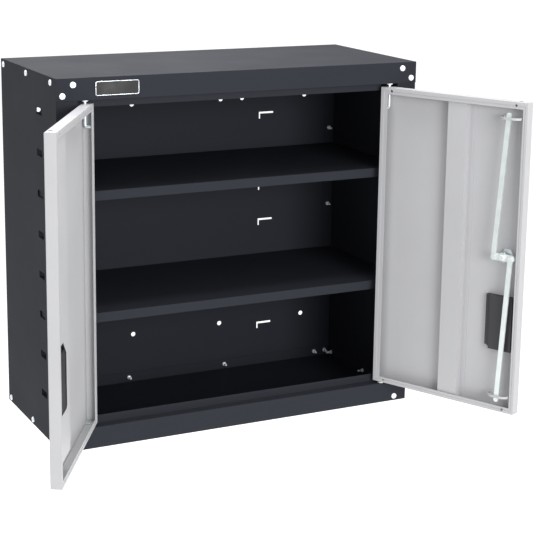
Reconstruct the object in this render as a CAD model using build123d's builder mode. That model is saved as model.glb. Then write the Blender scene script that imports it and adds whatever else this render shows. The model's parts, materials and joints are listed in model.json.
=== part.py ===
"""Hanging wall cabinet: folded-sheet carcass, two lift-on doors, two shelves and a two-rod lock.

Frame: X to the right, Y back towards the wall, Z up, in millimetres.
The origin is the middle of the wall-hole pattern on the back face, which is the plane y = 0.
Both doors stand open at rest, at left_open_angle and right_open_angle.
"""
import os

from build123d import *

os.makedirs("parts", exist_ok=True)

# ---------------------------------------------------------------- driving dimensions
# Carcass
cabinet_width = 686.0
cabinet_depth = 305.0
cabinet_height = 645.0
sheet = 1.0                    # thickness of every folded panel
rail_height = 38.0             # front face of the header and of the sill
stile_width = 37.5             # front face of each side panel
stile_return = 12.0            # edge of the stile, folded back into the cabinet
seam_flange = 20.0             # flanges that the panels are bolted through
bend_radius = 0.9              # outside radius of the carcass folds
fold_limit = 0.9               # largest outside radius, as a share of the sheet
stop_gap = 1.0                 # between a closed door and the stop lips
stop_overlap = 8.0             # how far a stop lip reaches past the door's edge

# Doors
door_thickness = 19.0
door_end_gap = 6.0             # above and below a door
door_centre_gap = 3.0          # between the closed doors
hinge_setback = 14.0           # from the stile's edge to the hinge axis
hinge_edge_margin = 9.0        # from the hinge axis to the door's hinge edge
hinge_depth = 6.0              # hinge axis behind the door's outer face
left_open_angle = 120.5
right_open_angle = 115.4
door_bend_radius = 1.2
return_hinge = 13.5            # folded return on the hinge edge
return_free = 9.0              # on the free edge
return_top = 12.0
return_bottom = 10.0
return_thickness = 1.6         # returns are hemmed, so thicker than the sheet
return_step = 0.6              # the inner half of a return is joggled down by this
corner_hole_radius = 2.5
corner_hole_inset = 22.5       # from the door's side edges
hang_hole_radius = 3.5
hang_hole_inset = 20.0         # from the free edge, in the door's top wall

# Hinge hardware
pin_radius = 2.75
pin_clearance = 0.05           # radial running clearance
loose_clearance = 0.4          # between pieces that move past each other
bush_flange_radius = 5.5
bush_flange_thickness = 1.5
bush_sleeve_radius = 4.0
bush_sleeve_length = 5.0
pin_engagement = 8.0           # length of pin inside the header or the sill
bolt_drop = 38.0               # hinge bolt's lowest point below the door's top
bolt_leg_length = 10.0
bolt_bend_radius = 4.0
bracket_drop = 12.0            # hinge bolt bracket below the door's top
bracket_thickness = 1.2
bracket_length = 18.0
bracket_flange = 10.0
foot_plate_thickness = 2.0
pin_shoulder_radius = 4.5

# Stiffeners
hat_off_centre = 10.0          # from the door's middle towards its free edge
hat_web = 38.5
hat_height = 14.5
hat_flange = 10.0
channel_inset = 81.0           # channel on the left door, from the free edge
channel_foot = 8.0
channel_depth = 15.0
channel_bottom_gap = 36.0      # open end above the door's bottom
channel_lap = 4.0              # channel edge tucked under the free-edge return
window_inset = 64.0            # cut-out for the handle's back, from the free edge
window_above = 16.0            # window beyond the cup's top
window_corner = 24.0
window_small_corner = 6.0

# Recessed handles
cup_edge = 14.0                # from the free edge
cup_width = 55.0
cup_height = 98.0
cup_centre = -118.5            # height of the cup's middle
cup_wall = 2.0
cup_depth = 13.0
cup_shallow_depth = 8.0
cup_shallow_width = 10.0
cup_bezel_width = 5.0
cup_bezel_thickness = 1.5
cup_bezel_corner = 6.0
cup_grip = 16.0                # lip that the fingers pull on
cup_corner_cut = 5.0
clip_reach = 3.5
clip_height = 11.5
clip_spacing = 60.0

# Lock and its rods
lock_height = 4.0              # above the middle of the door
lock_edge = 34.0               # from the free edge
lock_barrel_radius = 9.0
lock_rosette_radius = 11.0
lock_rosette_thickness = 2.0
lock_plug_radius = 5.0
lock_nut_flats = 23.0
lock_nut_thickness = 3.0
key_slot_length = 7.0
key_slot_width = 1.6
cam_radius = 16.7              # from the lock's axis to each rod pivot
cam_thickness = 2.0
cam_arm_width = 13.0
cam_nut_flats = 10.0
cam_nut_thickness = 4.0
cam_nut_chamfer = 0.6
rod_width = 9.0
rod_thickness = 3.0
rod_tail = 6.0                 # rod past its pivot
rod_lean = 1.5                 # rod tip from the lock's axis, towards the free edge
rod_pull_back = 11.0           # gap between a withdrawn rod tip and its stop lip
rivet_radius = 2.5
rivet_head_radius = 4.0
rivet_head_thickness = 1.5

# Rod guides
guide_half_width = 22.0
guide_thickness = 1.6
guide_height = 4.0
guide_corner = 15.0
guide_end_distance = 29.0      # from the door's end to the guide
guide_foot = 7.0
guide_room = 1.0               # between rod and guide

# Shelves and their supports
shelf_setback = 29.0           # from the front face to the shelf's lip
shelf_side_gap = 1.5
shelf_rear_gap = 1.0           # from the side panels' rear flanges
shelf_lip = 17.0
shelf_lip_return = 8.0
support_first = 73.0           # lowest support above the cabinet's bottom
support_pitch = 71.5
support_headroom = 50.0        # kept free above the highest support
upper_shelf_row = 5
lower_shelf_row = 2
support_front = 91.0           # support column behind the front face
support_width = 26.0
support_reach = 8.0
support_slot_width = 28.0
support_slot_height = 12.0

# Back panel
wall_hole_radius = 4.5
wall_hole_side_inset = 68.0    # outer columns from the cabinet's sides
wall_hole_inner_spacing = 184.0
wall_hole_end_inset = 96.75    # rows from the cabinet's top and bottom
extra_hole_offset = 138.0      # one more hole in the upper row
hook_offset = 190.5            # hook columns, each side of the middle
hook_width = 28.5
hook_rise = 3.0                # hook seat above the side supports of the same row
hook_height = 11.5
hook_clearance = 0.5           # each side of the shelf's rear lip
hook_slit = 1.5                # between a hook and each side of its window

# Bolts and nuts
bolt_radius = 2.0
bolt_length = 14.0
bolt_head_radius = 5.2
bolt_head_thickness = 2.2
bolt_head_round = 1.4
bolt_tip_chamfer = 0.8
bolt_recess_length = 5.0
bolt_recess_width = 1.2
bolt_recess_depth = 1.1
nut_flats = 7.0
nut_thickness = 3.0
side_bolt_inset = 9.0          # from the cabinet's top and bottom
side_bolt_setback = 27.0       # first side bolt behind the front face
side_bolt_rear = 17.0          # last side bolt in front of the wall plane
back_bolt_inset = 11.0
back_bolt_side_inset = 12.0
back_bolt_columns = 4
back_bolt_edge_inset = 36.1    # outer columns from the cabinet's sides
back_bolt_rows = 5
header_bolt_high = (29.0, 11.0)   # inset from the side, inset from the top
header_bolt_low = (10.5, 29.0)
sill_bolt = (25.0, 9.0)

# Header badge, blank
badge_width = 77.0
badge_height = 24.0
badge_thickness = 1.0
badge_inset = 106.5            # badge centre from the cabinet's left side
badge_corner = 3.0
badge_rim = 1.6
badge_recess = 0.4

# ---------------------------------------------------------------- values that follow
half_width = cabinet_width / 2
half_height = cabinet_height / 2
fold_radius = min(bend_radius, sheet * fold_limit)
stop_depth = door_thickness + stop_gap         # from the front face to the door stop lips
front_y = -cabinet_depth
opening_half = half_width - stile_width
wall_inside = half_width - sheet
rail_edge = half_height - rail_height

hinge_x = opening_half - hinge_setback
hinge_y = front_y + hinge_depth
door_half_height = rail_edge - door_end_gap
door_face = -hinge_depth                       # the door's outer face, seen from the hinge axis
door_skin = door_face + sheet
door_inner = door_face + door_thickness
door_free = hinge_x - door_centre_gap / 2      # free edge, from the hinge axis
stop_lip_edge = door_half_height - stop_overlap
# A turning door's inner hinge corner reaches past the lips within the hinge edge's margin, so they stop short
stop_lip_half = hinge_x - hinge_edge_margin - loose_clearance

# Distances from the hinge axis towards a door's free edge
hat_centre = (door_free - hinge_edge_margin) / 2 + hat_off_centre
channel_near = door_free - channel_inset
window_near = door_free - window_inset
cup_near = door_free - cup_edge - cup_width
lock_offset = door_free - lock_edge

support_count = int((cabinet_height - support_first - support_headroom) / support_pitch) + 1
support_rows = [support_first - half_height + support_pitch * row for row in range(support_count)]
support_y = front_y + support_front
shelf_tops = {
    "shelf_upper": support_rows[upper_shelf_row] + shelf_lip,
    "shelf_lower": support_rows[lower_shelf_row] + shelf_lip,
}
hook_stand_off = 2 * sheet + 2 * hook_clearance   # the shelf's rear lip hangs in this space
hook_seats = [row + hook_rise for row in support_rows]

rod_inner = stop_depth - hinge_depth + sheet + loose_clearance    # rods pass behind the stop lips
rod_outer = rod_inner + rod_thickness
cam_outer = rod_inner - loose_clearance
cam_inner = cam_outer - cam_thickness
guide_reach = rod_outer + guide_room + guide_thickness
rod_tip = stop_lip_edge - rod_pull_back
guide_z = door_half_height - guide_end_distance
cup_low = cup_centre - cup_height / 2
cup_high = cup_centre + cup_height / 2
lock_front = door_face - lock_rosette_thickness
badge_x = badge_inset - half_width
badge_z = half_height - rail_height / 2

wall_hole_outer_spacing = cabinet_width - 2 * wall_hole_side_inset
wall_hole_rise = cabinet_height - 2 * wall_hole_end_inset
side_bolt_first = front_y + side_bolt_setback
side_bolt_last = -side_bolt_rear
side_bolt_ys = [side_bolt_first, (side_bolt_first + side_bolt_last) / 2, side_bolt_last]
front_bolt_places = [
    (half_width - header_bolt_high[0], half_height - header_bolt_high[1]),
    (half_width - header_bolt_low[0], half_height - header_bolt_low[1]),
    (half_width - sill_bolt[0], sill_bolt[1] - half_height),
]
back_bolt_x = half_width - back_bolt_side_inset
back_bolt_row_pitch = (cabinet_height - 2 * back_bolt_inset) / (back_bolt_rows - 1)
back_bolt_zs = [back_bolt_inset - half_height + back_bolt_row_pitch * row for row in range(back_bolt_rows)]
back_bolt_pitch = (cabinet_width - 2 * back_bolt_edge_inset) / (back_bolt_columns - 1)
back_bolt_xs = [(column - (back_bolt_columns - 1) / 2) * back_bolt_pitch
                for column in range(back_bolt_columns)]

SIDES = {"left": -1, "right": 1}
OPEN_ANGLE = {"left": left_open_angle, "right": right_open_angle}


# ---------------------------------------------------------------- helpers
def save(builder, name):
    """Label a finished piece and write it as one STEP file."""
    builder.part.label = name
    export_step(builder.part, f"parts/{name}.step")


def slab(x_range, y_range, z_range, mode=Mode.ADD):
    """A block between two values on each axis, in the current part's frame."""
    sizes = [abs(high - low) for low, high in (x_range, y_range, z_range)]
    centre = [(low + high) / 2 for low, high in (x_range, y_range, z_range)]
    with Locations(tuple(centre)):
        Box(*sizes, mode=mode)


def door_plane(side):
    """Door frame on the hinge axis: local X along the door, local Y into the cabinet, Z up."""
    turn = SIDES[side] * OPEN_ANGLE[side]
    swing = Vector(1, 0, 0).rotate(Axis.Z, turn)
    return Plane(origin=(SIDES[side] * hinge_x, hinge_y, 0), x_dir=swing, z_dir=(0, 0, 1))


def along(side, *distances):
    """Local X for distances from the hinge axis towards the free edge, in rising order."""
    return sorted(-SIDES[side] * distance for distance in distances)


def facing(side, distance, depth, height, toward):
    """Plane in a door's own frame: 'in' looks into the cabinet, 'out' away from it, 'up' along Z."""
    origin = (-SIDES[side] * distance, depth, height)
    if toward == "in":
        return Plane(origin=origin, x_dir=(-1, 0, 0), z_dir=(0, 1, 0))
    if toward == "out":
        return Plane(origin=origin, x_dir=(1, 0, 0), z_dir=(0, -1, 0))
    return Plane(origin=origin, x_dir=(1, 0, 0), z_dir=(0, 0, 1))


def on_door(side, distance, depth, height, toward):
    """The same plane, carried to where the open door holds it."""
    return Plane(door_plane(side).location * facing(side, distance, depth, height, toward).location)


# ---------------------------------------------------------------- side panels
def make_side_panel(side, name):
    """Side wall with the front stile, its return, a rear flange and lanced shelf supports."""
    sign = SIDES[side]

    def across(*values):
        return sorted(sign * value for value in values)

    fold_y = front_y + sheet
    inner_height = (-half_height + sheet, half_height - sheet)
    with BuildPart() as panel:
        slab(across(wall_inside, half_width), (fold_y, -sheet), (-half_height, half_height))
        slab(across(opening_half, wall_inside), (fold_y, fold_y + sheet), inner_height)
        slab(across(opening_half, opening_half + sheet), (fold_y + sheet, fold_y + stile_return), inner_height)
        slab(across(wall_inside - seam_flange, wall_inside), (-2 * sheet, -sheet), inner_height)
        corner = panel.edges().filter_by(Axis.Z).sort_by_distance((sign * half_width, fold_y, 0))[0]
        fillet(corner, radius=fold_radius)
        # Each support is lanced from the slot above it and folded inwards
        slot_y = (support_y - support_slot_width / 2, support_y + support_slot_width / 2)
        tab_y = (support_y - support_width / 2, support_y + support_width / 2)
        for row in support_rows:
            slab(across(wall_inside, half_width), slot_y, (row, row + support_slot_height), mode=Mode.SUBTRACT)
            slab(across(wall_inside - support_reach, wall_inside), tab_y, (row - sheet, row))
        for seam_z in (half_height - side_bolt_inset, side_bolt_inset - half_height):
            with Locations(*[Plane(origin=(sign * half_width, y, seam_z), z_dir=(sign, 0, 0))
                             for y in side_bolt_ys]):
                Hole(bolt_radius, depth=2 * sheet)
        with Locations(*[Plane(origin=(sign * x, fold_y, z), z_dir=(0, -1, 0)) for x, z in front_bolt_places]):
            Hole(bolt_radius, depth=2 * sheet)
        with Locations(*[Plane(origin=(sign * back_bolt_x, -sheet, z), z_dir=(0, 1, 0)) for z in back_bolt_zs]):
            Hole(bolt_radius, depth=2 * sheet)
    save(panel, name)


for side_name in SIDES:
    make_side_panel(side_name, f"side_panel_{side_name}")


# ---------------------------------------------------------------- top and bottom panels
def make_end_panel(up, name):
    """Top panel with the header (up = 1), or bottom panel with the sill (up = -1)."""

    def level(*values):
        return sorted(up * value for value in values)

    with BuildPart() as panel:
        slab((-wall_inside, wall_inside), (front_y, -sheet), level(half_height - sheet, half_height))
        slab((-half_width, half_width), (front_y, front_y + sheet), level(rail_edge, half_height))
        slab((-opening_half, opening_half), (front_y + sheet, front_y + stop_depth + sheet),
             level(rail_edge, rail_edge + sheet))
        slab((-stop_lip_half, stop_lip_half), (front_y + stop_depth, front_y + stop_depth + sheet),
             level(stop_lip_edge, rail_edge))
        slab((seam_flange - wall_inside, wall_inside - seam_flange), (-2 * sheet, -sheet),
             level(half_height - seam_flange, half_height - sheet))
        for sign in SIDES.values():
            slab(sorted((sign * (wall_inside - sheet), sign * wall_inside)), (front_y + 2 * sheet, -2 * sheet),
                 level(half_height - seam_flange, half_height - sheet))
        long_edges = panel.edges().filter_by(Axis.X)
        crest = long_edges.sort_by_distance((0, front_y, up * half_height))[0]
        brow = long_edges.sort_by_distance((0, front_y, up * rail_edge))[0]
        fillet([crest, brow], radius=fold_radius)
        with Locations(*[Plane(origin=(sign * hinge_x, hinge_y, up * rail_edge), z_dir=(0, 0, -up))
                         for sign in SIDES.values()]):
            Hole(bush_sleeve_radius, depth=2 * sheet)
        seam_z = up * (half_height - side_bolt_inset)
        for sign in SIDES.values():
            with Locations(*[Plane(origin=(sign * wall_inside, y, seam_z), z_dir=(sign, 0, 0))
                             for y in side_bolt_ys]):
                Hole(bolt_radius, depth=2 * sheet)
        face_bolts = [(sign * x, z) for sign in SIDES.values() for x, z in front_bolt_places if z * up > 0]
        with Locations(*[Plane(origin=(x, front_y, z), z_dir=(0, -1, 0)) for x, z in face_bolts]):
            Hole(bolt_radius, depth=2 * sheet)
        rear_z = up * (half_height - back_bolt_inset)
        with Locations(*[Plane(origin=(x, -sheet, rear_z), z_dir=(0, 1, 0)) for x in back_bolt_xs]):
            Hole(bolt_radius, depth=2 * sheet)
    save(panel, name)


make_end_panel(1, "top_panel")
make_end_panel(-1, "bottom_panel")

# ---------------------------------------------------------------- back panel
with BuildPart() as back_panel:
    with BuildSketch(Plane.XZ):
        Rectangle(cabinet_width, cabinet_height)
        for spacing in (wall_hole_outer_spacing, wall_hole_inner_spacing):
            with GridLocations(spacing, wall_hole_rise, 2, 2):
                Circle(wall_hole_radius, mode=Mode.SUBTRACT)
        with Locations((extra_hole_offset, wall_hole_rise / 2)):
            Circle(wall_hole_radius, mode=Mode.SUBTRACT)
        with Locations(*[(sign * back_bolt_x, z) for sign in SIDES.values() for z in back_bolt_zs]):
            Circle(bolt_radius, mode=Mode.SUBTRACT)
        with Locations(*[(x, z) for x in back_bolt_xs for z in (back_bolt_zs[0], back_bolt_zs[-1])]):
            Circle(bolt_radius, mode=Mode.SUBTRACT)
        # A window is as tall as the flap that was folded out of it, and ends below the shelf's top
        window_height = hook_height + hook_stand_off - sheet
        with Locations(*[(sign * hook_offset, seat + window_height / 2)
                         for sign in SIDES.values() for seat in hook_seats]):
            Rectangle(hook_width + 2 * hook_slit, window_height, mode=Mode.SUBTRACT)
    extrude(amount=sheet)
    # Lanced hooks: each flap is joined along its lower edge and stands off the panel
    hook_back = -sheet - hook_stand_off
    for sign in SIDES.values():
        hook_x = (sign * hook_offset - hook_width / 2, sign * hook_offset + hook_width / 2)
        for seat in hook_seats:
            slab(hook_x, (hook_back, -sheet), (seat - sheet, seat))
            slab(hook_x, (hook_back, hook_back + sheet), (seat, seat + hook_height - sheet))
save(back_panel, "back_panel")


# ---------------------------------------------------------------- shelves
def make_shelf(top, name):
    """Tray shelf: side lips stand on the supports, and the rear lip hangs in the back panel's hooks."""
    half_shelf = wall_inside - shelf_side_gap
    half_tongue = wall_inside - seam_flange - shelf_side_gap
    shelf_front = front_y + shelf_setback
    shelf_rear = -2 * sheet - shelf_rear_gap
    tongue_rear = -sheet - hook_clearance
    lip_low = top - shelf_lip
    with BuildPart() as shelf:
        slab((-half_shelf, half_shelf), (shelf_front, shelf_rear), (top - sheet, top))
        slab((-half_shelf, half_shelf), (shelf_front, shelf_front + sheet), (lip_low, top - sheet))
        slab((-half_shelf, half_shelf), (shelf_front + sheet, shelf_front + shelf_lip_return),
             (lip_low, lip_low + sheet))
        slab((-half_tongue, half_tongue), (shelf_rear, tongue_rear), (top - sheet, top))
        slab((-half_tongue, half_tongue), (tongue_rear - sheet, tongue_rear),
             (lip_low + hook_rise, top - sheet))
        for sign in SIDES.values():
            slab(sorted((sign * (half_shelf - sheet), sign * half_shelf)), (shelf_front + sheet, shelf_rear),
                 (lip_low, top - sheet))
        front_edges = shelf.edges().filter_by(Axis.X)
        nose = front_edges.sort_by_distance((0, shelf_front, top))[0]
        chin = front_edges.sort_by_distance((0, shelf_front, lip_low))[0]
        fillet([nose, chin], radius=fold_radius)
    save(shelf, name)


for shelf_name, shelf_top in shelf_tops.items():
    make_shelf(shelf_top, shelf_name)

# ---------------------------------------------------------------- header badge
with BuildPart() as header_badge:
    with BuildSketch(Plane(origin=(badge_x, front_y, badge_z), x_dir=(1, 0, 0), z_dir=(0, -1, 0))):
        RectangleRounded(badge_width, badge_height, badge_corner)
    extrude(amount=badge_thickness)
    with BuildSketch(Plane(origin=(badge_x, front_y - badge_thickness, badge_z),
                           x_dir=(1, 0, 0), z_dir=(0, -1, 0))):
        RectangleRounded(badge_width - 2 * badge_rim, badge_height - 2 * badge_rim, badge_corner - badge_rim)
    extrude(amount=-badge_recess, mode=Mode.SUBTRACT)
save(header_badge, "header_badge")

# ---------------------------------------------------------------- bolts and nuts
# One pan-head bolt, head on +Z, and one hexagon nut: patterns for the groups below
with BuildPart() as bolt_pattern:
    with BuildSketch(Plane.XY):
        Circle(bolt_head_radius)
    extrude(amount=bolt_head_thickness)
    fillet(bolt_pattern.edges().sort_by(Axis.Z)[-1], radius=bolt_head_round)
    with BuildSketch(Plane.XY.offset(bolt_head_thickness)):
        Rectangle(bolt_recess_length, bolt_recess_width)
        Rectangle(bolt_recess_width, bolt_recess_length)
    extrude(amount=-bolt_recess_depth, mode=Mode.SUBTRACT)
    with BuildSketch(Plane.XY):
        Circle(bolt_radius)
    extrude(amount=-bolt_length)
    chamfer(bolt_pattern.edges().sort_by(Axis.Z)[0], length=bolt_tip_chamfer)

with BuildPart() as nut_pattern:
    with BuildSketch(Plane.XY):
        RegularPolygon(radius=nut_flats / 2, side_count=6, major_radius=False)
        Circle(bolt_radius, mode=Mode.SUBTRACT)
    extrude(amount=-nut_thickness)


def make_fasteners(faces, clamped, bolt_name, nut_name):
    """Bolts with their heads on the given outside planes, and nuts behind the clamped sheets."""
    with BuildPart() as bolts:
        with Locations(*faces):
            add(bolt_pattern.part)
    save(bolts, bolt_name)
    with BuildPart() as nuts:
        with Locations(*[face.offset(-clamped) for face in faces]):
            add(nut_pattern.part)
    save(nuts, nut_name)


side_faces = [Plane(origin=(sign * half_width, y, up * (half_height - side_bolt_inset)), z_dir=(sign, 0, 0))
              for sign in SIDES.values() for up in (1, -1) for y in side_bolt_ys]
front_faces = [Plane(origin=(sign * x, front_y, z), x_dir=(1, 0, 0), z_dir=(0, -1, 0))
               for sign in SIDES.values() for x, z in front_bolt_places]
back_faces = [Plane(origin=(sign * back_bolt_x, 0, z), x_dir=(1, 0, 0), z_dir=(0, 1, 0))
              for sign in SIDES.values() for z in back_bolt_zs]
back_faces += [Plane(origin=(x, 0, z), x_dir=(1, 0, 0), z_dir=(0, 1, 0))
               for x in back_bolt_xs for z in (back_bolt_zs[0], back_bolt_zs[-1])]
make_fasteners(side_faces, 2 * sheet, "side_bolts", "side_nuts")
make_fasteners(front_faces, 2 * sheet, "front_bolts", "front_nuts")
make_fasteners(back_faces, 2 * sheet, "back_bolts", "back_nuts")


# ---------------------------------------------------------------- hinge bushes
def make_bushes(up, name):
    """Two flanged nylon bushes in the header's return (up = 1) or the sill's (up = -1)."""
    with BuildPart() as bushes:
        for sign in SIDES.values():
            seat = Plane(origin=(sign * hinge_x, hinge_y, up * rail_edge), z_dir=(0, 0, up))
            with BuildSketch(seat):
                Circle(bush_sleeve_radius)
            extrude(amount=bush_sleeve_length)
            with BuildSketch(seat):
                Circle(bush_flange_radius)
            extrude(amount=-bush_flange_thickness)
            with Locations(seat.offset(bush_sleeve_length)):
                Hole(pin_radius + pin_clearance, depth=bush_sleeve_length + bush_flange_thickness)
    save(bushes, name)


make_bushes(1, "hinge_bushes_upper")
make_bushes(-1, "hinge_bushes_lower")


# ---------------------------------------------------------------- doors
def make_door_panel(side, name):
    """Door pan: outer skin, four walls and hemmed returns, open to the inside."""
    width_range = along(side, -hinge_edge_margin, door_free)
    height_range = (-door_half_height, door_half_height)
    opening_z = (-door_half_height + return_bottom, door_half_height - return_top)
    with BuildPart(door_plane(side)) as door:
        slab(width_range, (door_face, door_inner), height_range)
        skin = door.faces().sort_by_distance(on_door(side, door_free / 2, door_face, 0, "out").origin)[0]
        fillet(skin.edges(), radius=door_bend_radius)
        slab(along(side, sheet - hinge_edge_margin, door_free - sheet),
             (door_skin, door_inner - return_thickness),
             (sheet - door_half_height, door_half_height - sheet), mode=Mode.SUBTRACT)
        slab(along(side, return_hinge - hinge_edge_margin, door_free - return_free), (door_skin, door_inner),
             opening_z, mode=Mode.SUBTRACT)
        slab(along(side, return_hinge / 2 - hinge_edge_margin, door_free - return_free / 2),
             (door_inner - return_step, door_inner),
             (-door_half_height + return_bottom / 2, door_half_height - return_top / 2), mode=Mode.SUBTRACT)
        slab(along(side, cup_near, cup_near + cup_width), (door_face, door_skin), (cup_low, cup_high),
             mode=Mode.SUBTRACT)
        corner_holes = [facing(side, distance, door_inner, height, "in")
                        for distance in (corner_hole_inset - hinge_edge_margin, door_free - corner_hole_inset)
                        for height in (door_half_height - return_top / 2, return_bottom / 2 - door_half_height)]
        with Locations(*corner_holes):
            Hole(corner_hole_radius, depth=2 * return_thickness)
        with Locations(facing(side, 0, 0, door_half_height, "up")):
            Hole(pin_radius + loose_clearance, depth=2 * sheet)
        with Locations(facing(side, door_free - hang_hole_inset, 0, door_half_height, "up")):
            Hole(hang_hole_radius, depth=2 * sheet)
        with Locations(facing(side, 0, 0, sheet - door_half_height, "up")):
            Hole(pin_radius, depth=2 * sheet)
        if side == "right":
            with Locations(facing(side, lock_offset, door_face, lock_height, "out")):
                Hole(lock_barrel_radius, depth=2 * sheet)
    save(door, name)


def make_hinge_bolt(side, name):
    """Retractable upper hinge bolt: a rod whose lower end is bent into a finger leg."""
    tip = rail_edge + pin_engagement
    low = door_half_height - bolt_drop
    base = door_plane(side)
    upright = Plane(origin=base.origin, x_dir=base.y_dir, z_dir=base.y_dir.cross(Vector(0, 0, 1)))
    with BuildPart() as bolt:
        with BuildLine(upright):
            FilletPolyline((0, tip), (0, low), (bolt_leg_length, low), radius=bolt_bend_radius)
        with BuildSketch(Plane(origin=(base.origin.X, base.origin.Y, tip), z_dir=(0, 0, -1))):
            Circle(pin_radius)
        sweep()
    save(bolt, name)


def make_bolt_bracket(side, name):
    """Welded angle that guides the hinge bolt under the door's top wall."""
    height = door_half_height - bracket_drop
    reach = along(side, sheet - hinge_edge_margin, sheet - hinge_edge_margin + bracket_length)
    with BuildPart(door_plane(side)) as bracket:
        slab(reach, (door_skin, door_inner - return_thickness - sheet), (height - bracket_thickness, height))
        slab(reach, (door_skin, door_skin + bracket_thickness),
             (height - bracket_flange, height - bracket_thickness))
        with Locations(facing(side, 0, 0, height, "up")):
            Hole(pin_radius + pin_clearance, depth=2 * bracket_thickness)
    save(bracket, name)


def make_lower_pin(side, name):
    """Fixed lower hinge pin: a welded foot plate, a thrust shoulder and the pin itself."""
    foot = sheet - door_half_height
    shoulder_end = -rail_edge + bush_flange_thickness + loose_clearance
    with BuildPart(door_plane(side)) as pin:
        slab(along(side, sheet - hinge_edge_margin, bracket_length - hinge_edge_margin),
             (door_skin, door_inner - return_thickness - sheet), (foot, foot + foot_plate_thickness))
        with BuildSketch(on_door(side, 0, 0, foot, "up")):
            Circle(pin_radius)
        extrude(amount=-(foot + rail_edge + pin_engagement))
        with BuildSketch(on_door(side, 0, 0, -door_half_height, "up")):
            Circle(pin_shoulder_radius)
        extrude(amount=-(-door_half_height - shoulder_end))
    save(pin, name)


def make_handle_cup(side, name):
    """Recessed plastic pull: bezel outside, finger pocket through the skin, snap clips inside."""
    far = cup_near + cup_width
    back = door_skin + cup_depth
    shallow_back = door_skin + cup_shallow_depth
    step = cup_near + cup_shallow_width
    front = door_face - cup_bezel_thickness
    middle = cup_near + cup_width / 2
    with BuildPart(door_plane(side)) as cup:
        with BuildSketch(on_door(side, middle, door_face, cup_centre, "out")):
            RectangleRounded(cup_width + 2 * cup_bezel_width, cup_height + 2 * cup_bezel_width,
                             cup_bezel_corner)
        extrude(amount=cup_bezel_thickness)
        slab(along(side, cup_near, step), (door_face, shallow_back), (cup_low + cup_corner_cut, cup_high))
        slab(along(side, step, far), (door_face, back), (cup_low, cup_high))
        slab(along(side, cup_near, step), (door_face, door_skin), (cup_low, cup_low + cup_corner_cut))
        # Finger pocket: open at the front up to the grip lip, and carried on behind it
        pocket_z = (cup_low + cup_corner_cut + cup_wall, cup_high - cup_wall)
        slab(along(side, cup_near + cup_wall, far - cup_grip), (front, shallow_back - cup_wall), pocket_z,
             mode=Mode.SUBTRACT)
        slab(along(side, step + cup_wall, far - cup_wall), (door_skin + cup_wall, back - cup_wall), pocket_z,
             mode=Mode.SUBTRACT)
        for height in (cup_centre - clip_spacing / 2, cup_centre + clip_spacing / 2):
            slab(along(side, cup_near - clip_reach, cup_near), (door_skin, door_skin + cup_wall),
                 (height - clip_height / 2, height + clip_height / 2))
    save(cup, name)


for side_name in SIDES:
    make_door_panel(side_name, f"door_{side_name}_panel")
    make_hinge_bolt(side_name, f"door_{side_name}_hinge_bolt")
    make_bolt_bracket(side_name, f"door_{side_name}_bolt_bracket")
    make_lower_pin(side_name, f"door_{side_name}_lower_pin")
    make_handle_cup(side_name, f"door_{side_name}_handle_cup")

# ---------------------------------------------------------------- door stiffeners
# Right door: hat section down the middle, between the top and bottom walls
with BuildPart(door_plane("right")) as door_right_stiffener:
    hat_z = (sheet - door_half_height, door_half_height - sheet)
    hat_low = hat_centre - hat_web / 2
    hat_high = hat_centre + hat_web / 2
    hat_top = door_skin + hat_height
    slab(along("right", hat_low, hat_high), (hat_top - sheet, hat_top), hat_z)
    for wall, outward in ((hat_low, -1), (hat_high, 1)):
        slab(along("right", wall, wall - outward * sheet), (door_skin, hat_top - sheet), hat_z)
        slab(along("right", wall, wall + outward * hat_flange), (door_skin, door_skin + sheet), hat_z)
save(door_right_stiffener, "door_right_stiffener")

# Left door: channel behind the free edge, open at its foot, with a window for the handle's back
with BuildPart(door_plane("left")) as door_left_stiffener:
    channel_z = (channel_bottom_gap - door_half_height, door_half_height - sheet)
    channel_top = min(door_skin + channel_depth, door_inner - return_thickness)
    channel_far = door_free - return_free + channel_lap
    slab(along("left", channel_near, channel_far), (channel_top - sheet, channel_top), channel_z)
    slab(along("left", channel_near, channel_near + sheet), (door_skin, channel_top - sheet), channel_z)
    slab(along("left", channel_near - channel_foot, channel_near), (door_skin, door_skin + sheet), channel_z)
    window_far = channel_far + sheet
    # Seen from inside, X in this sketch runs from the free edge to the hinge
    with BuildSketch(on_door("left", 0, channel_top, 0, "in")) as window:
        with BuildLine():
            Polyline(
                (-window_far, cup_low), (-window_near, cup_low), (-window_near, cup_high - window_above / 2),
                (-window_near - window_corner, cup_high + window_above), (-window_far, cup_high + window_above),
                close=True,
            )
        make_face()
        hinge_corners = window.vertices().group_by(Axis.X)[-1]
        fillet(hinge_corners, radius=window_small_corner)
    extrude(amount=-2 * sheet, mode=Mode.SUBTRACT)
save(door_left_stiffener, "door_left_stiffener")

# ---------------------------------------------------------------- lock, right door only
with BuildPart(door_plane("right")) as lock_cylinder:
    with BuildSketch(on_door("right", lock_offset, door_face, lock_height, "out")):
        Circle(lock_rosette_radius)
    extrude(amount=lock_rosette_thickness)
    with BuildSketch(on_door("right", lock_offset, door_face, lock_height, "in")):
        Circle(lock_barrel_radius)
    extrude(amount=cam_inner - loose_clearance - door_face)
    with Locations(facing("right", lock_offset, lock_front, lock_height, "out")):
        Hole(lock_plug_radius + pin_clearance, depth=cam_inner - lock_front)
save(lock_cylinder, "lock_cylinder")

with BuildPart(door_plane("right")) as lock_nut:
    with BuildSketch(on_door("right", lock_offset, door_skin, lock_height, "in")):
        RegularPolygon(radius=lock_nut_flats / 2, side_count=6, major_radius=False)
        Circle(lock_barrel_radius, mode=Mode.SUBTRACT)
    extrude(amount=lock_nut_thickness)
save(lock_nut, "lock_nut")

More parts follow.
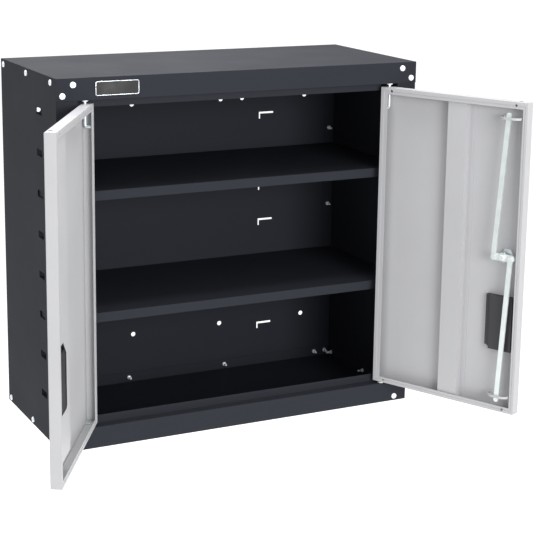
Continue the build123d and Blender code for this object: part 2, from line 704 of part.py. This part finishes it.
with BuildPart(door_plane("right")) as lock_plug:
    with BuildSketch(on_door("right", lock_offset, lock_front, lock_height, "in")):
        Circle(lock_plug_radius)
    extrude(amount=cam_inner - lock_front)
    with BuildSketch(on_door("right", lock_offset, lock_front, lock_height, "in")):
        Rectangle(key_slot_width, key_slot_length)
    extrude(amount=key_slot_length, mode=Mode.SUBTRACT)
save(lock_plug, "lock_plug")

# Cam arms lie level when the rods are withdrawn: one pivot each side of the lock's axis
with BuildPart(door_plane("right")) as lock_cam:
    with BuildSketch(on_door("right", lock_offset, cam_inner, lock_height, "in")):
        SlotCenterToCenter(2 * cam_radius, cam_arm_width)
        with Locations((-cam_radius, 0), (cam_radius, 0)):
            Circle(rivet_radius, mode=Mode.SUBTRACT)
    extrude(amount=cam_thickness)
save(lock_cam, "lock_cam")

with BuildPart(door_plane("right")) as cam_nut:
    cam_seat = on_door("right", lock_offset, cam_outer, lock_height, "in")
    with BuildSketch(cam_seat):
        RegularPolygon(radius=cam_nut_flats / 2, side_count=6, major_radius=False)
    extrude(amount=cam_nut_thickness)
    nut_axis = Axis(cam_seat.origin, cam_seat.z_dir)
    chamfer(cam_nut.faces().sort_by(nut_axis)[-1].edges(), length=cam_nut_chamfer)
save(cam_nut, "cam_nut")

with BuildPart(door_plane("right")) as rod_rivets:
    for pivot in (lock_offset - cam_radius, lock_offset + cam_radius):
        with BuildSketch(on_door("right", pivot, cam_inner, lock_height, "in")):
            Circle(rivet_radius)
        extrude(amount=rod_outer + loose_clearance - cam_inner)
        with BuildSketch(on_door("right", pivot, rod_outer + loose_clearance, lock_height, "in")):
            Circle(rivet_head_radius)
        extrude(amount=rivet_head_thickness)
save(rod_rivets, "rod_rivets")


def make_lock_rod(up, name):
    """Flat rod from one cam arm to a rounded tip: up = 1 near the hinge side, up = -1 beyond it."""
    pivot = lock_offset - up * cam_radius
    seat = on_door("right", pivot, rod_inner, lock_height, "in")
    run = Vector(lock_offset + rod_lean - pivot, up * rod_tip - lock_height)
    direction = seat.x_dir * run.X + seat.y_dir * run.Y
    rod_plane = Plane(origin=seat.origin, x_dir=direction, z_dir=seat.z_dir)
    with BuildPart(door_plane("right")) as rod:
        with BuildSketch(rod_plane):
            with Locations(((run.length - rod_tail) / 2, 0)):
                SlotOverall(run.length + rod_tail, rod_width)
            Circle(rivet_radius + pin_clearance, mode=Mode.SUBTRACT)
        extrude(amount=rod_thickness)
    save(rod, name)


make_lock_rod(1, "lock_rod_upper")
make_lock_rod(-1, "lock_rod_lower")


def make_rod_guide(up, name):
    """Strap bent into a loop over the rod, with two feet welded to the door's skin."""
    base = up * guide_z - guide_height / 2
    middle = guide_thickness / 2
    crown = guide_reach - door_skin - middle
    half = guide_half_width - middle
    with BuildPart(door_plane("right")) as guide:
        with BuildSketch(on_door("right", lock_offset + rod_lean, door_skin, base, "up")):
            with BuildLine():
                FilletPolyline(
                    (-half - guide_foot, middle), (-half, middle), (-half, crown),
                    (half, crown), (half, middle), (half - guide_foot, middle),
                    radius=(guide_thickness, guide_corner, guide_corner, guide_thickness),
                )
            trace(line_width=guide_thickness)
        extrude(amount=guide_height)
    save(guide, name)


make_rod_guide(1, "rod_guide_upper")
make_rod_guide(-1, "rod_guide_lower")
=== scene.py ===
"""Looks of the hanging wall cabinet: materials, badge trim, floor, light and camera."""
import json
import math

import bmesh
import bpy
from mathutils import Matrix, Vector


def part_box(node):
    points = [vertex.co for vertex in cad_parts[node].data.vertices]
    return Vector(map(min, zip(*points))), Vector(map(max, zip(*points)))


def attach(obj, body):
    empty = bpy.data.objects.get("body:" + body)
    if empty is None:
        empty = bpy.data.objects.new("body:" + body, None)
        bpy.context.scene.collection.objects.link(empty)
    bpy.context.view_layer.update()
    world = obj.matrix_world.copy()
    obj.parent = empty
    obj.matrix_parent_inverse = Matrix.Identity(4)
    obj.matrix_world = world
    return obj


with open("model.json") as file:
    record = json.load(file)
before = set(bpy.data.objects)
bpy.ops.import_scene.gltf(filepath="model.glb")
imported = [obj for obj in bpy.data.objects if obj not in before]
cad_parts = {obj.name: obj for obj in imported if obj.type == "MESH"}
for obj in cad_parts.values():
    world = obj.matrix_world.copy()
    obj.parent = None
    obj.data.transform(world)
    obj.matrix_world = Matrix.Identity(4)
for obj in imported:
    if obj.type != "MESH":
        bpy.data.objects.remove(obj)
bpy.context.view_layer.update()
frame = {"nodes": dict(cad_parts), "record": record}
nodes = frame["nodes"]

MM = 0.001

# Camera: a low shift, so that the other views stay framed
CAMERA_PLACE = (-1.1319, -2.6564, 0.6502)
CAMERA_YAW = 26.578
CAMERA_PITCH = -12.559
CAMERA_ROLL = 0.776
CAMERA_LENS = 102.40
CAMERA_SHIFT_Y = -0.10

FLOOR_DROP = 1.20              # floor below the cabinet, which hangs
FLOOR_SIZE = 120.0
FLOOR_GLOW = 0.15              # keeps the floor as white as the background
WORLD_STRENGTH = 1.0

# Lights: name, place, target, diameter, watts
LIGHTS = (
    ("top_light", (0.1, -0.2, 2.4), (0, -0.1, 0), 1.8, 88),
    ("key_light", (0.1, -3.4, 0.55), (0.1, -0.3, 0.1), 1.4, 95),
    ("back_light", (0.5, 2.3, 1.5), (0, 0, 0), 1.8, 14),
)

# Part of a noise value's range that ramps and spreads are stretched over
NOISE_LOW = 0.3
NOISE_HIGH = 0.7

BADGE_RIM = 1.2 * MM
BADGE_CORNER = 3.0 * MM
RIM_LIFT = 0.25 * MM           # how far the rim stands out of the badge
RIM_SECTIONS = 5               # facets across the rim


# ---------------------------------------------------------------- materials
def new_material(name, color, roughness, metallic=0.0, specular=0.5):
    material = bpy.data.materials.new(name)
    material.use_nodes = True
    shader = material.node_tree.nodes["Principled BSDF"]
    shader.inputs["Base Color"].default_value = (*color, 1.0)
    shader.inputs["Roughness"].default_value = roughness
    shader.inputs["Metallic"].default_value = metallic
    shader.inputs["Specular IOR Level"].default_value = specular
    return material, material.node_tree, shader


def noise(tree, scale, detail=3.0):
    """Noise in the part's own frame, in features per metre."""
    place = tree.nodes.new("ShaderNodeTexCoord")
    texture = tree.nodes.new("ShaderNodeTexNoise")
    texture.inputs["Scale"].default_value = scale
    texture.inputs["Detail"].default_value = detail
    tree.links.new(place.outputs["Object"], texture.inputs["Vector"])
    return texture.outputs["Fac"]


def ramp(tree, value, low, high):
    """Map a noise value to two colours, given as RGB."""
    node = tree.nodes.new("ShaderNodeValToRGB")
    node.color_ramp.elements[0].position = NOISE_LOW
    node.color_ramp.elements[1].position = NOISE_HIGH
    node.color_ramp.elements[0].color = (*low, 1.0)
    node.color_ramp.elements[1].color = (*high, 1.0)
    tree.links.new(value, node.inputs["Fac"])
    return node.outputs["Color"]


def spread(tree, value, low, high):
    """Map a noise value to a range of numbers."""
    node = tree.nodes.new("ShaderNodeMapRange")
    node.inputs["From Min"].default_value = NOISE_LOW
    node.inputs["From Max"].default_value = NOISE_HIGH
    node.inputs["To Min"].default_value = low
    node.inputs["To Max"].default_value = high
    tree.links.new(value, node.inputs["Value"])
    return node.outputs["Result"]


def relief(tree, shader, height, distance, strength=1.0, below=None):
    """Bump from a height value; several are chained through `below`."""
    node = tree.nodes.new("ShaderNodeBump")
    node.inputs["Distance"].default_value = distance
    node.inputs["Strength"].default_value = strength
    tree.links.new(height, node.inputs["Height"])
    if below:
        tree.links.new(below.outputs["Normal"], node.inputs["Normal"])
    tree.links.new(node.outputs["Normal"], shader.inputs["Normal"])
    return node


def rounded_edges(tree, radius):
    node = tree.nodes.new("ShaderNodeBevel")
    node.samples = 4
    node.inputs["Radius"].default_value = radius
    return node


def shade(color, amount):
    return tuple(min(1.0, channel * amount) for channel in color)


def powder_coat(name, color, roughness, specular, grain=900.0, depth=0.00004):
    """Baked powder coat: fine grain over orange peel, with very faint patches of colour and gloss."""
    material, tree, shader = new_material(name, color, roughness, specular=specular)
    patches = noise(tree, 9.0, 4.0)
    specks = noise(tree, grain * 0.8, 1.0)
    color_low = ramp(tree, patches, shade(color, 0.98), shade(color, 1.02))
    mix = tree.nodes.new("ShaderNodeMix")
    mix.data_type = "RGBA"
    mix.blend_type = "MULTIPLY"
    mix.inputs["Factor"].default_value = 0.16
    tree.links.new(color_low, mix.inputs["A"])
    tree.links.new(ramp(tree, specks, (0.75, 0.75, 0.75), (1.0, 1.0, 1.0)), mix.inputs["B"])
    tree.links.new(mix.outputs["Result"], shader.inputs["Base Color"])
    tree.links.new(spread(tree, patches, roughness - 0.03, roughness + 0.03), shader.inputs["Roughness"])
    edges = rounded_edges(tree, 0.5 * MM)
    peel = relief(tree, shader, noise(tree, 190.0, 2.0), depth * 1.6, 0.35, edges)
    relief(tree, shader, noise(tree, grain, 2.0), depth, 0.55, peel)
    return material


def plated_steel(name, color, roughness, metallic=1.0):
    """Plated steel: cloudy passivation tint over a fine brushed grain."""
    material, tree, shader = new_material(name, color, roughness, metallic=metallic)
    clouds = noise(tree, 60.0, 5.0)
    tint = (color[0] * 0.90, color[1] * 0.96, color[2] * 1.0)
    tree.links.new(ramp(tree, clouds, tint, shade(color, 1.06)), shader.inputs["Base Color"])
    tree.links.new(spread(tree, clouds, roughness - 0.07, roughness + 0.10), shader.inputs["Roughness"])
    edges = rounded_edges(tree, 0.3 * MM)
    relief(tree, shader, noise(tree, 1400.0, 2.0), 0.00002, 0.5, edges)
    return material


def moulded_plastic(name, color, roughness, grain, depth):
    """Injection-moulded plastic with a spark-eroded grain."""
    material, tree, shader = new_material(name, color, roughness)
    clouds = noise(tree, 30.0, 3.0)
    tree.links.new(ramp(tree, clouds, shade(color, 0.90), shade(color, 1.12)), shader.inputs["Base Color"])
    tree.links.new(spread(tree, clouds, roughness - 0.04, roughness + 0.06), shader.inputs["Roughness"])
    edges = rounded_edges(tree, 0.4 * MM)
    relief(tree, shader, noise(tree, grain, 2.0), depth, 0.6, edges)
    return material


CHARCOAL = (0.0185, 0.0200, 0.0255)
LIGHT_GREY = (0.340, 0.341, 0.352)
ZINC = (0.60, 0.63, 0.61)

finishes = {
    "cabinet_paint": powder_coat("cabinet_paint_coat", CHARCOAL, 0.60, 0.05),
    "door_paint": powder_coat("door_paint_coat", LIGHT_GREY, 0.45, 0.35, grain=1100.0, depth=0.00003),
    "zinc": plated_steel("zinc_plate", ZINC, 0.34, metallic=0.55),
    "chrome": plated_steel("chrome_plate", (0.80, 0.82, 0.84), 0.14),
    "black_plastic": moulded_plastic("black_plastic_grain", (0.018, 0.018, 0.020), 0.46, 1300.0, 0.00004),
    "nylon": moulded_plastic("nylon_grain", (0.80, 0.80, 0.77), 0.40, 700.0, 0.00002),
    "badge": moulded_plastic("badge_gloss", (0.012, 0.012, 0.013), 0.16, 500.0, 0.00001),
}
rim_metal = plated_steel("badge_rim_metal", (0.66, 0.67, 0.69), 0.26)
fastener_zinc = plated_steel("fastener_zinc", (0.82, 0.85, 0.88), 0.30, metallic=0.25)

slot_of = {part["node"]: part["material_slot"] for part in frame["record"]["subparts"]}
for node_name, obj in nodes.items():
    obj.data.materials.clear()
    fastener = node_name.endswith(("_bolts", "_nuts"))
    obj.data.materials.append(fastener_zinc if fastener else finishes[slot_of[node_name]])


# ---------------------------------------------------------------- pieces
def mesh_piece(name, mesh_builder, material, body, smooth=False):
    """Build a mesh with the given function, and hang it on its body and slot."""
    mesh = bpy.data.meshes.new(name)
    work = bmesh.new()
    mesh_builder(work)
    bmesh.ops.recalc_face_normals(work, faces=work.faces)
    for face in work.faces:
        face.smooth = smooth
    work.to_mesh(mesh)
    work.free()
    mesh.materials.append(material)
    piece = bpy.data.objects.new(name, mesh)
    bpy.context.scene.collection.objects.link(piece)
    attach(piece, body)
    return piece


def rounded_outline(width, height, corner, steps=6):
    """Points of a rounded rectangle about the origin, anticlockwise."""
    points = []
    for quarter, (sx, sz) in enumerate(((1, 1), (-1, 1), (-1, -1), (1, -1))):
        centre = (sx * (width / 2 - corner), sz * (height / 2 - corner))
        for step in range(steps + 1):
            angle = math.radians(90 * (quarter + step / steps))
            points.append((centre[0] + corner * math.cos(angle), centre[1] + corner * math.sin(angle)))
    return points


badge_low, badge_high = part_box("header_badge")
badge_middle = (badge_low + badge_high) / 2
badge_width = badge_high.x - badge_low.x
badge_height = badge_high.z - badge_low.z


def build_rim(work):
    """Half-round ring on the badge's border."""
    outline = rounded_outline(badge_width - BADGE_RIM, badge_height - BADGE_RIM, BADGE_CORNER)
    rings = []
    for index, (x, z) in enumerate(outline):
        before = Vector(outline[index - 1])
        after = Vector(outline[(index + 1) % len(outline)])
        along = (after - before).normalized()
        across = Vector((along.y, -along.x))
        ring = []
        for step in range(RIM_SECTIONS + 1):
            angle = math.pi * step / RIM_SECTIONS
            side = math.cos(angle) * BADGE_RIM / 2
            lift = math.sin(angle) * RIM_LIFT
            ring.append(work.verts.new((badge_middle.x + x + across.x * side, badge_low.y - lift,
                                        badge_middle.z + z + across.y * side)))
        rings.append(ring)
    for index, ring in enumerate(rings):
        following = rings[(index + 1) % len(rings)]
        for step in range(RIM_SECTIONS + 1):
            other = (step + 1) % (RIM_SECTIONS + 1)
            work.faces.new((ring[step], ring[other], following[other], following[step]))


mesh_piece("badge_rim", build_rim, rim_metal, "cabinet", smooth=True)

# ---------------------------------------------------------------- floor, light and camera
cabinet_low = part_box("bottom_panel")[0].z
floor_z = cabinet_low - FLOOR_DROP
bpy.ops.mesh.primitive_plane_add(size=FLOOR_SIZE, location=(0, 0, floor_z))
floor = bpy.context.object
floor.name = "floor"
floor_material, floor_tree, floor_shader = new_material("floor_paper", (0.93, 0.93, 0.93), 0.9)
floor_tree.links.new(ramp(floor_tree, noise(floor_tree, 3.0, 2.0), (0.92, 0.92, 0.92), (0.94, 0.94, 0.94)),
                     floor_shader.inputs["Base Color"])
floor_shader.inputs["Emission Color"].default_value = (1.0, 1.0, 1.0, 1.0)
floor_shader.inputs["Emission Strength"].default_value = FLOOR_GLOW
floor.data.materials.append(floor_material)


def area_light(name, place, target, size, power):
    data = bpy.data.lights.new(name, "AREA")
    data.shape = "DISK"
    data.size = size
    data.energy = power
    light = bpy.data.objects.new(name, data)
    light.location = place
    light.rotation_euler = (Vector(target) - Vector(place)).to_track_quat("-Z", "Y").to_euler()
    bpy.context.scene.collection.objects.link(light)


for light_settings in LIGHTS:
    area_light(*light_settings)

world = bpy.data.worlds.new("studio")
world.use_nodes = True
background = world.node_tree.nodes["Background"]
background.inputs["Color"].default_value = (1.0, 1.0, 1.0, 1.0)
background.inputs["Strength"].default_value = WORLD_STRENGTH
bpy.context.scene.world = world
bpy.context.scene.view_settings.view_transform = "Standard"

camera_data = bpy.data.cameras.new("camera")
camera_data.lens = CAMERA_LENS
camera_data.shift_y = CAMERA_SHIFT_Y
camera = bpy.data.objects.new("camera", camera_data)
bpy.context.scene.collection.objects.link(camera)
camera.matrix_world = (
    Matrix.Translation(CAMERA_PLACE)
    @ Matrix.Rotation(math.radians(-CAMERA_YAW), 4, "Z")
    @ Matrix.Rotation(math.radians(90 + CAMERA_PITCH), 4, "X")
    @ Matrix.Rotation(math.radians(CAMERA_ROLL), 4, "Z")
)
bpy.context.scene.camera = camera
